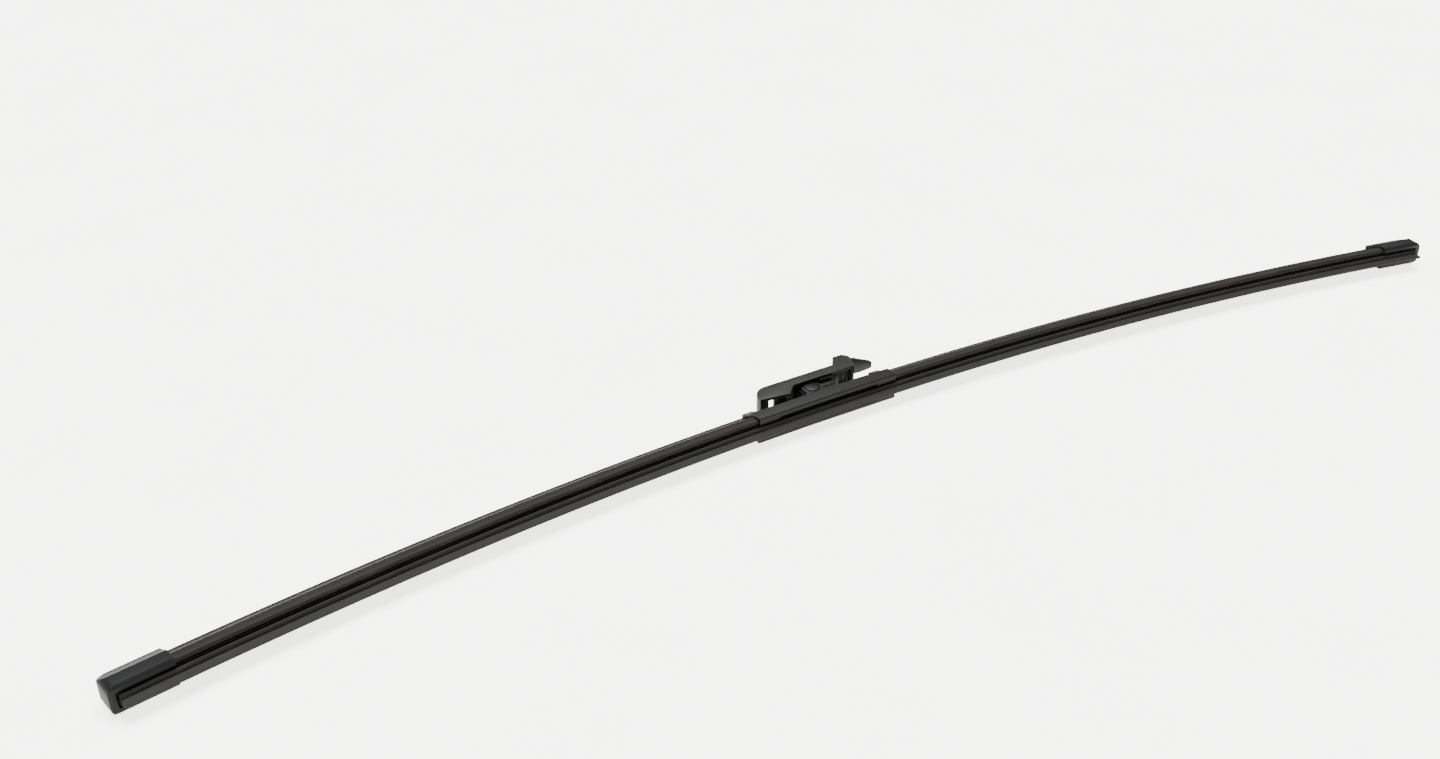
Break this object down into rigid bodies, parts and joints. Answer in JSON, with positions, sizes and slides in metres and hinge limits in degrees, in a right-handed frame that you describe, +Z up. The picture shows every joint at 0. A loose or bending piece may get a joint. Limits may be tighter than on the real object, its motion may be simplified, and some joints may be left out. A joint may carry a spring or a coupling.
{
  "type": "wiper blade",
  "caption": "Flat wiper blade on its side: bowed rubber strip on spring rails, finned spoiler, end caps and a pivoting arm adapter with a sprung release lever.",
  "frame": {"origin": "middle of the footprint, on the surface that the blade lies on", "axes": "+X along the blade towards the thumb tab's end, +Y from the wiping lip to the arm side, +Z up across the blade's width"},
  "size_m": [0.598, 0.0573, 0.0116],
  "materials": {
    "wiping_rubber": "matt black rubber",
    "spring_steel": "bright rolled strip",
    "spoiler": "satin black, soft grade",
    "cap_plastic": "satin black moulding",
    "clip_steel": "bright pressed sheet",
    "bracket_coat": "black powder coat",
    "shroud_plastic": "satin black moulding",
    "rivet_steel": "black zinc-nickel plated",
    "sleeve_plastic": "natural acetal",
    "adapter_plastic": "fine-grained black moulding",
    "lever_plastic": "fine-grained black moulding"
  },
  "bodies": {
    "blade": {"wiping_rubber": "wiping_rubber", "spring_rail_upper": "spring_steel", "spring_rail_lower": "spring_steel", "spoiler_left": "spoiler", "spoiler_right": "spoiler", "end_cap_left": "cap_plastic", "end_cap_right": "cap_plastic", "rail_clip_left": "clip_steel", "rail_clip_right": "clip_steel", "centre_bracket": "bracket_coat", "bracket_shroud": "shroud_plastic", "pivot_rivet": "rivet_steel", "pivot_sleeve": "sleeve_plastic"},
    "adapter": {"pivot_block": "adapter_plastic", "arm_adapter": "adapter_plastic", "lever_pin": "rivet_steel"},
    "lever": {"release_lever": "lever_plastic"}
  },
  "joints": [
    {"name": "adapter_swing", "type": "hinge", "parent": "blade", "child": "adapter", "pos_m": [-0.02211, 0.01552, 0.0058], "axis": [0, 0, 1], "range_deg": [-6, 9]},
    {"name": "lever_press", "type": "hinge", "parent": "adapter", "child": "lever", "pos_m": [-0.00123, 0.02416, 0.0058], "axis": [0, 0, 1], "range_deg": [-10, 0], "stiffness_Nm_per_rad": 0.1, "springref_deg": 2.86}
  ]
}
